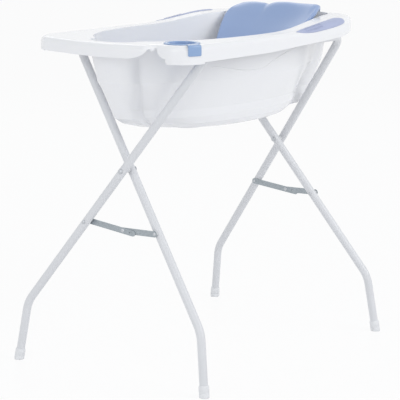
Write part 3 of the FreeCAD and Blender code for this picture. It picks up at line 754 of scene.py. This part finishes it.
def eased(table: Sequence[Pair], at: float) -> float:
    """Smooth value from a table of places and values.

    Args:
        table: Pairs in rising order of place.
        at: Place to read.

    Returns:
        Value, held flat past the ends.
    """
    if at <= table[0][0]:
        return table[0][1]
    for i in range(len(table) - 1):
        (a, va), (b, vb) = table[i], table[i + 1]
        if at <= b:
            before = table[max(i - 1, 0)]
            after = table[min(i + 2, len(table) - 1)]
            slope_a = (vb - before[1]) / (b - before[0])
            slope_b = (after[1] - va) / (after[0] - a)
            t = (at - a) / (b - a)
            h = b - a
            return ((2 * t ** 3 - 3 * t ** 2 + 1) * va + (t ** 3 - 2 * t ** 2 + t) * h * slope_a
                    + (3 * t ** 2 - 2 * t ** 3) * vb + (t ** 3 - t ** 2) * h * slope_b)
    return table[-1][1]


@dataclass
class StandFrame:
    """One bent-tube frame of the stand, with its foot caps."""

    name: str
    body: str
    feet: Side
    narrower: float = 0.0
    tube_radius: float = 11.0
    foot_x: float = 438.745
    knee_x: float = 424.185
    bar_x: float = 304.125
    foot_y: float = 302.05
    knee_y: float = 279.05
    knee_z: float = 160.0
    bar_y: float = 231.0
    bar_z: float = 850.0
    knee_bend: float = 90.0
    corner_bend: float = 45.0
    tube_start: float = 5.0
    cap_facets: int = 48
    cap_profile: tuple[Pair, ...] = (
        (0, -6), (12.3, -6), (12.9, 0), (13.4, 3.5), (13.4, 10), (13.0, 10.6), (13.0, 11.6), (13.4, 12.2),
        (13.35, 25), (13.1, 27.6), (12.5, 29.2), (11.6, 30), (10.6, 30), (0, 30))

    def route(self) -> list[Point]:
        """Corners of the tube from foot to foot.

        Returns:
            Points in millimetres.
        """
        s, less = self.feet.value, self.narrower
        share = self.tube_start / self.knee_z
        foot = (self.foot_x - less + (self.knee_x - self.foot_x) * share,
                s * (self.foot_y + (self.knee_y - self.foot_y) * share), self.tube_start)
        knee = (self.knee_x - less, s * self.knee_y, self.knee_z)
        bar = (self.bar_x - less, -s * self.bar_y, self.bar_z)
        right = [foot, knee, bar]
        left = [(-x, y, z) for x, y, z in right]
        return left + right[::-1]

    def build(self, bench: Workshop, recipe: NodeRecipe) -> None:
        """Make the tube and its caps.

        Args:
            bench: Workshop that finishes the pieces.
            recipe: Bent tube tree.
        """
        bends = [0.0, self.knee_bend, self.corner_bend]
        bends = [b * MM for b in bends + bends[::-1]]
        path = path_mesh(self.name, self.route(), bend=bends)
        values = {"Tube radius": self.tube_radius * MM, "Material": bench.materials["frame_white"]}
        tube = recipe.bake(path, values)
        bench.piece(f"{self.name}_bent_tube", tube, self.body, "frame_white", [f"{self.name}_frame_tube"])
        for hand in Hand:
            self.cap(bench, hand)

    def cap(self, bench: Workshop, hand: Hand) -> None:
        """Make one foot cap, level with the floor.

        Args:
            bench: Workshop that finishes the piece.
            hand: Left or right foot.
        """
        s = self.feet.value
        foot = Vector((hand.value * (self.foot_x - self.narrower), s * self.foot_y, 0))
        knee = Vector((hand.value * (self.knee_x - self.narrower), s * self.knee_y, self.knee_z))
        cap = lathe_mesh("cap", self.cap_profile, self.cap_facets, foot, knee - foot)
        cap = welded(cap, level=True)
        node = f"foot_cap_{self.name}_{hand.name.lower()}"
        bench.piece(f"{self.name}_{hand.name.lower()}_sole_cap", cap, self.body, "cap_white", [node])


@dataclass
class BathRest:
    """Reclined support moulded as one cupped sheet with two soft lobes along its top.

    A station is a place along the tub, a height, a half width, the cup's depth and the lobes' share.
    A cheek row is how far the turned edge goes out and how far it goes back behind the sheet.
    """

    gauge: float = 4.0
    levels: int = 2
    columns: int = 60
    cup_level: float = 0.6
    cheek: tuple[Pair, ...] = ((2.4, 2.6), (3.0, 12.0))
    stations: tuple[tuple[float, float, float, float, float], ...] = (
        (-1, 649, 84, 0, 0), (2, 656, 89, 0, 0), (14, 660, 92, 1, 0), (42, 659, 94, 2, 0),
        (70, 659, 95, 3, 0), (90, 668, 97, 5, 0), (112, 696, 101, 9, 0), (150, 748, 108, 14, 0),
        (186, 798, 116, 17, 0), (222, 846, 126, 19, 0), (256, 874, 138, 19, 0),
        (282, 895, 145, 17, 0.15), (301, 910.4, 144, 13, 0.4), (315, 920.4, 140, 9, 0.8),
        (328, 927.3, 136, 6, 1.0), (340, 928.7, 132, 4, 1.0), (354, 923.8, 126, 3, 0.7),
        (367, 916.5, 118, 2, 0.4), (375, 909, 112, 1, 0.2))
    crest: tuple[Pair, ...] = (
        (-136, -6), (-128, -1.5), (-121, 0), (-98, 1.3), (-64, 2.8), (-30, 4.9), (-6, 4.6), (12, 3),
        (26, 0), (40, -5), (54, -2.6), (68, -1.6), (89, -1.7), (110, -4), (128, -8), (136, -11))

    def build(self, bench: Workshop) -> None:
        """Make the support.

        Args:
            bench: Workshop that finishes the piece.
        """
        rows = [self.row(i) for i in range(len(self.stations))]
        made = finished(welded(sheet_mesh("bath_rest_sheet", rows)), self.gauge, self.levels)
        bench.piece("bath_rest_moulding", made, "bath_rest", "rest_blue", ["bath_rest"])

    def row(self, index: int) -> list[Point]:
        """Points across one station.

        Args:
            index: Station number.

        Returns:
            Points from the far cheek to the near one.
        """
        x, z, half, cup, weight = self.stations[index]
        ahead = self.stations[min(index + 1, len(self.stations) - 1)]
        behind = self.stations[max(index - 1, 0)]
        run = Vector((ahead[0] - behind[0], 0, ahead[1] - behind[1])).normalized()
        out = Vector((-run.z, 0, run.x))
        points = []
        for k in range(self.columns + 1):
            q = 2 * k / self.columns - 1
            lift = cup * (q * q - self.cup_level)
            place = Vector((x, -q * half, z)) + out * lift
            place.z += weight * eased(self.crest, place.y)
            points.append(place)
        for end in (0, -1):
            tip = points[end]
            away = math.copysign(1.0, tip.y)
            turned = [tip + Vector((0, away * wide, 0)) - out * down for wide, down in self.cheek]
            points = points + turned if end else turned[::-1] + points
        return [tuple(p) for p in points]


@dataclass
class SoapDish:
    """Round dish let into the rim's corner, with a tab over the edge.

    Both profiles give a distance from the dish's middle and a height over the rim.
    """

    centre: Pair = (-348.0, -184.0)
    rim_top: float = 878.0
    facets: int = 96
    bowl_profile: tuple[Pair, ...] = (
        (0, -19.5), (32, -19.5), (36.2, -17.7), (38, -13.5), (38, 0), (45.2, 0), (46, 0.8), (46, 1.6),
        (45.1, 2.5), (38.6, 2.5), (36.8, 2.0), (35.7, 0.6), (35.5, -1.5), (35.5, -11.5), (33.9, -15.5),
        (29.5, -17), (0, -17))
    tab_profile: tuple[Pair, ...] = (
        (42, 2.4), (52, 2.5), (58, 2.5), (62, 2.2), (65.4, 0.4), (66.8, -3.5), (66.8, -12), (66.8, -20),
        (66.8, -26))
    tab_bearing: float = -112.0
    tab_half: float = 17.0
    tab_columns: int = 8
    tab_gauge: float = 2.2
    tab_levels: int = 2

    def build(self, bench: Workshop) -> None:
        """Make the dish and its tab as one piece.

        Args:
            bench: Workshop that finishes the piece.
        """
        base = Vector((*self.centre, self.rim_top))
        bowl = lathe_mesh("soap_bowl", self.bowl_profile, self.facets, base, Vector((0, 0, 1)))
        work = bmesh.new()
        work.from_mesh(bowl)
        work.from_mesh(finished(self.tab(), self.tab_gauge, self.tab_levels))
        work.to_mesh(bowl)
        work.free()
        bench.piece("soap_dish_moulding", bowl, "soap_dish", "dish_blue", ["soap_dish"])

    def tab(self) -> bpy.types.Mesh:
        """Lay the tab's sheet out over the rim, round its edge and down.

        Returns:
            The sheet.
        """
        middle, half = math.radians(self.tab_bearing), math.radians(self.tab_half)
        rows = []
        for radius, height in self.tab_profile:
            row = []
            for k in range(self.tab_columns + 1):
                angle = middle + half * (2 * k / self.tab_columns - 1)
                row.append((self.centre[0] + radius * math.cos(angle),
                            self.centre[1] + radius * math.sin(angle), self.rim_top + height))
            rows.append(row)
        return welded(sheet_mesh("soap_tab", rows))


@dataclass
class RimGrip:
    """Soft crescent moulded over the crest of the rim on one long side.

    The low edge is a height and the top edge a distance in from the rim's outline, by place along the tub.
    """

    side: Side
    start: float = 70.0
    end: float = 311.0
    rim_half: float = 248.0
    rim_low: float = 878.0
    rim_rise: float = 20.0
    rise_start: float = 65.0
    rise_run: float = 193.0
    rise_share: float = 0.3
    turn_x: float = 232.0
    turn_radius: float = 300.0
    crest: float = 14.0
    skin: float = 1.2
    edge_share: float = 0.3
    edge_rows: int = 2
    drop: float = 22.0
    low_edge: tuple[Pair, ...] = (
        (70, 877.8), (80, 876.2), (100, 873.6), (139, 872), (172, 873.5), (209, 876), (246, 879), (299, 885),
        (306, 887), (311, 890))
    top_edge: tuple[Pair, ...] = (
        (70, 8.3), (80, 10), (107, 15), (180, 22), (246, 28), (290, 32), (304, 30), (311, 25))
    steps: int = 90
    strips: int = 20
    rib_count: int = 11
    rib_start: float = 112.0
    rib_end: float = 184.0
    rib_steps: int = 24
    rib_size: Point = (1.4, 9.0, 0.5)

    def rim_top(self, x: float) -> float:
        """Height of the rim's top at a place along the tub.

        Args:
            x: Place in millimetres.

        Returns:
            Height in millimetres.
        """
        foot, head = self.rise_start, self.rise_start + self.rise_run
        slope = self.rim_rise / self.rise_run
        reach = self.rise_share * math.hypot(self.rise_run, self.rim_rise)
        bend = 4 * reach / slope
        if x < foot - reach:
            return self.rim_low
        if x < foot + reach:
            return self.rim_low + (x - foot + reach) ** 2 / bend
        if x < head - reach:
            return self.rim_low + (x - foot) * slope
        return self.rim_low + self.rim_rise - max(head + reach - x, 0) ** 2 / bend

    def edge(self, x: float) -> tuple[Vector, Vector]:
        """Rim outline and its outward direction.

        Args:
            x: Place in millimetres.

        Returns:
            Point on the outline and unit vector out of it.
        """
        if x <= self.turn_x:
            return Vector((x, self.side.value * self.rim_half, 0)), Vector((0, self.side.value, 0))
        sine = (x - self.turn_x) / self.turn_radius
        cosine = math.sqrt(1 - sine * sine)
        out = Vector((sine, self.side.value * cosine, 0))
        middle = Vector((self.turn_x, self.side.value * (self.rim_half - self.turn_radius), 0))
        return middle + out * self.turn_radius, out

    def skin_point(self, x: float, along: float, proud: float) -> Vector:
        """Point on the grip, by its distance round the crest from the lower outer edge.

        Args:
            x: Place along the tub in millimetres.
            along: Distance round the section in millimetres.
            proud: Height over the rim's own surface.

        Returns:
            Point in millimetres.
        """
        point, out = self.edge(x)
        top = self.rim_top(x)
        quarter = self.crest * math.pi / 2
        if along < self.drop:
            return point + out * proud + Vector((0, 0, top - self.crest - self.drop + along))
        if along < self.drop + quarter:
            angle = (along - self.drop) / self.crest
            reach = self.crest + proud
            inward = self.crest - reach * math.cos(angle)
            return point - out * inward + Vector((0, 0, top - self.crest + reach * math.sin(angle)))
        inward = self.crest + along - self.drop - quarter
        return point - out * inward + Vector((0, 0, top + proud))

    def span(self, x: float) -> Pair:
        """Distances round the section of the grip's lower and upper edge.

        Args:
            x: Place along the tub in millimetres.

        Returns:
            Lower and upper distance in millimetres.
        """
        bend = self.rim_top(x) - self.crest
        rise = eased(self.low_edge, x) - bend
        low = self.drop + (self.crest * math.asin(min(rise / self.crest, 1)) if rise > 0 else rise)
        inward = eased(self.top_edge, x)
        high = self.drop + self.crest * math.acos(max(1 - inward / self.crest, 0))
        return low, high + max(inward - self.crest, 0)

    def build(self, bench: Workshop, ribs: NodeRecipe) -> None:
        """Make the grip and its ribs.

        Args:
            bench: Workshop that finishes the pieces.
            ribs: Rib tree.
        """
        side = self.side.name.lower()
        sheet = welded(sheet_mesh("rim_grip_sheet", [self.row(i) for i in range(self.steps + 1)]))
        if sum(p.normal.z for p in sheet.polygons) < 0:
            sheet.flip_normals()
        made = finished(sheet, self.skin * self.edge_share)
        bench.piece(f"rim_grip_{side}_skin", made, "tub", "grip_blue", [f"rim_grip_{side}"])
        self.add_ribs(bench, ribs)

    def row(self, index: int) -> list[Point]:
        """Points round one section, thinning towards the grip's edges and ends.

        Args:
            index: Section number.

        Returns:
            Points from the lower edge to the upper one.
        """
        x = self.start + (self.end - self.start) * index / self.steps
        low, high = self.span(x)
        row = []
        for k in range(self.strips + 1):
            part = k / self.strips
            rows_in = min(min(part, 1 - part) * self.strips, index, self.steps - index)
            full = math.sqrt(min(rows_in / self.edge_rows, 1.0))
            proud = self.skin * (self.edge_share + (1 - self.edge_share) * full)
            row.append(tuple(self.skin_point(x, low + (high - low) * part, proud)))
        return row

    def add_ribs(self, bench: Workshop, ribs: NodeRecipe) -> None:
        """Lay fine ribs across the foot-side half of the grip.

        Args:
            bench: Workshop that finishes the piece.
            ribs: Rib tree.
        """
        points, outs = [], []
        for i in range(self.rib_steps + 1):
            x = self.rib_start + (self.rib_end - self.rib_start) * i / self.rib_steps
            middle = sum(self.span(x)) / 2
            on_skin = self.skin_point(x, middle, self.skin)
            over_skin = self.skin_point(x, middle, 2 * self.skin)
            points.append(tuple(on_skin))
            outs.append(tuple((over_skin - on_skin).normalized()))
        sizes = [tuple(s * MM for s in self.rib_size)] * len(points)
        path = path_mesh("grip_rib_line", points, out=outs, size=sizes)
        values = {"Count": self.rib_count, "Material": bench.materials["grip_blue"]}
        bench.piece(f"rim_grip_{self.side.name.lower()}_ribs", ribs.bake(path, values), "tub", "grip_blue")


@dataclass
class TubDetail:
    """Raised line that runs along both long walls of the tub.

    The waist and the crown are levels of the wall: a height, a half length and a half width.
    """

    waist: Point = (770.0, 369.5, 185.0)
    crown: Point = (915.0, 406.0, 206.0)
    power: float = 2.35
    bead: float = 1.7
    sink: float = 0.9
    steps: int = 120
    line: tuple[Pair, ...] = (
        (-205, 806), (-180, 803), (-120, 792), (-60, 785), (0, 788), (75, 812), (165, 829), (250, 832),
        (285, 833))

    def wall(self, x: float, z: float) -> float:
        """Half width of the tub's outer wall.

        Args:
            x: Place along the tub in millimetres.
            z: Height in millimetres.

        Returns:
            Half width in millimetres.
        """
        share = (z - self.waist[0]) / (self.crown[0] - self.waist[0])
        long_half = self.waist[1] + (self.crown[1] - self.waist[1]) * share
        wide_half = self.waist[2] + (self.crown[2] - self.waist[2]) * share
        return wide_half * (1 - (abs(x) / long_half) ** self.power) ** (1 / self.power)

    def build(self, bench: Workshop, recipe: NodeRecipe) -> None:
        """Make the line on both walls.

        Args:
            bench: Workshop that finishes the pieces.
            recipe: Bent tube tree.
        """
        first, last = self.line[0][0], self.line[-1][0]
        for side in Side:
            points = []
            for i in range(self.steps + 1):
                x = first + (last - first) * i / self.steps
                z = eased(self.line, x)
                points.append((x, side.value * (self.wall(x, z) - self.sink), z))
            path = path_mesh("wall_line", points, bend=[0.0] * len(points))
            values = {"Tube radius": self.bead * MM, "Material": bench.materials["tub_white"]}
            made = recipe.bake(path, values)
            bench.piece(f"wall_line_{side.name.lower()}", made, "tub", "tub_white")


@dataclass
class StandFixings:
    """Domed heads on the pivots and stay rivets."""

    dome: float = 1.5
    cover: float = 0.94

    def build(self, bench: Workshop, recipe: NodeRecipe) -> None:
        """Set a dome on the outer face of every rivet head.

        Args:
            bench: Workshop that finishes the pieces.
            recipe: Stud tree.
        """
        groups = {"stand": ("pivot_rivet", "stay_rivet_outer"), "inner_frame": ("stay_rivet_inner",)}
        for body, stems in groups.items():
            points, aims, sizes = [], [], []
            for stem in stems:
                for hand in Hand:
                    low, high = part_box(f"{stem}_{hand.name.lower()}")
                    middle = (low + high) / 2
                    outer = high.x if hand is Hand.RIGHT else low.x
                    across = (high.z - low.z) / 2 * self.cover
                    points.append((outer / MM, middle.y / MM, middle.z / MM))
                    aims.append((hand.value, 0.0, 0.0))
                    sizes.append((across, across, self.dome * MM))
            heads = path_mesh("rivet_heads", points, linked=False, aim=aims, size=sizes)
            made = recipe.bake(heads, {"Material": bench.materials["rivet_steel"]})
            bench.piece(f"{body}_rivet_domes", made, body, "rivet_steel")


@dataclass(frozen=True)
class Lamp:
    """Square soft panel, with its place and side in metres and its power in watts."""

    name: str
    place: Point
    side: float
    power: float


@dataclass
class Studio:
    """Pale floor, soft lamps and the camera."""

    eye: Point = (-3.7562, -2.8555, 1.3313)
    azimuth: float = -52.519
    elevation: float = 11.09
    roll: float = -0.233
    lens: float = 157.3
    sensor: float = 36.0
    clip_end: float = 100.0
    lamp_aim: Point = (0.0, 0.0, 0.6)
    lamps: tuple[Lamp, ...] = (
        Lamp("key", (1.0, -3.8, 2.9), 2.8, 60.0),
        Lamp("fill", (-4.4, -0.4, 1.8), 2.8, 36.0),
        Lamp("back", (2.6, 3.0, 3.4), 2.6, 18.0))
    room_colour: Colour = (0.96, 0.98, 1.0)
    room_strength: float = 0.7
    seen_colour: Colour = (1.0, 1.0, 1.0)
    floor_half: float = 12.0
    floor_low: Colour = (0.86, 0.86, 0.87)
    floor_high: Colour = (0.89, 0.89, 0.90)
    floor_cloud: float = 0.6
    floor_rough: float = 0.4
    floor_glow: float = 0.88

    def build(self) -> None:
        """Make the camera, the lamps, the world and the floor."""
        self.camera()
        for lamp in self.lamps:
            self.hang(lamp)
        self.world()
        self.floor()
        bpy.context.scene.view_settings.view_transform = "Standard"

    def camera(self) -> None:
        """Stand the camera off the foot end's near corner."""
        data = bpy.data.cameras.new("camera")
        data.lens = self.lens
        data.sensor_width = self.sensor
        data.clip_end = self.clip_end
        obj = bpy.data.objects.new("camera", data)
        bpy.context.scene.collection.objects.link(obj)
        a, e = math.radians(self.azimuth), math.radians(self.elevation)
        forward = Vector((-math.sin(a) * math.cos(e), math.cos(a) * math.cos(e), -math.sin(e)))
        turn = Quaternion(forward, math.radians(self.roll))
        obj.rotation_mode = "QUATERNION"
        obj.rotation_quaternion = turn @ forward.to_track_quat("-Z", "Y")
        obj.location = self.eye
        bpy.context.scene.camera = obj

    def hang(self, lamp: Lamp) -> None:
        """Hang one lamp, aimed at the stand.

        Args:
            lamp: Lamp to hang.
        """
        data = bpy.data.lights.new(lamp.name, "AREA")
        data.size = lamp.side
        data.energy = lamp.power
        obj = bpy.data.objects.new(lamp.name, data)
        obj.location = lamp.place
        aim = Vector(self.lamp_aim) - Vector(lamp.place)
        obj.rotation_euler = aim.to_track_quat("-Z", "Y").to_euler()
        bpy.context.scene.collection.objects.link(obj)

    def world(self) -> None:
        """Light the room evenly, and show it white."""
        world = bpy.data.worlds.new("room")
        world.use_nodes = True
        bpy.context.scene.world = world
        sheet = NodeSheet(world.node_tree)
        light = sheet.tree.nodes["Background"]
        light.inputs["Color"].default_value = (*self.room_colour, 1.0)
        light.inputs["Strength"].default_value = self.room_strength
        seen = sheet.add("ShaderNodeBackground")
        seen.inputs["Color"].default_value = (*self.seen_colour, 1.0)
        both = sheet.blend(sheet.seen_rays(), light.outputs["Background"], seen.outputs["Background"])
        sheet.join(both, sheet.tree.nodes["World Output"].inputs["Surface"])

    def floor(self) -> None:
        """Lay the pale floor, which keeps a soft shadow."""
        data = bpy.data.meshes.new("floor")
        h = self.floor_half
        data.from_pydata([(-h, -h, 0), (h, -h, 0), (h, h, 0), (-h, h, 0)], [], [(0, 1, 2, 3)])
        sheet = ShaderSheet("floor_white")
        cloud = sheet.noise(self.floor_cloud)
        sheet.join(sheet.tint(cloud, self.floor_low, self.floor_high), sheet.surface.inputs["Base Color"])
        sheet.surface.inputs["Roughness"].default_value = self.floor_rough
        glow = sheet.add("ShaderNodeEmission")
        share = sheet.span(sheet.seen_rays(), 0.0, self.floor_glow)
        both = sheet.blend(share, sheet.surface.outputs["BSDF"], glow.outputs["Emission"])
        sheet.join(both, sheet.tree.nodes["Material Output"].inputs["Surface"])
        data.materials.append(sheet.material)
        obj = bpy.data.objects.new("floor", data)
        bpy.context.scene.collection.objects.link(obj)


def main() -> None:
    """Build every sub-assembly in order."""
    logging.basicConfig(level=logging.INFO, format="%(name)s %(message)s")
    bench = Workshop()
    bench.dress_nodes()
    tubes, studs, ribs = bent_tube_recipe(), stud_recipe(), rib_recipe()
    StandFrame("outer", "stand", Side.FAR).build(bench, tubes)
    StandFrame("inner", "inner_frame", Side.NEAR, narrower=FRAME_STEP).build(bench, tubes)
    StandFixings().build(bench, studs)
    TubDetail().build(bench, tubes)
    BathRest().build(bench)
    SoapDish().build(bench)
    for side in Side:
        RimGrip(side).build(bench, ribs)
    Studio().build()


if __name__ == "__main__":
    main()
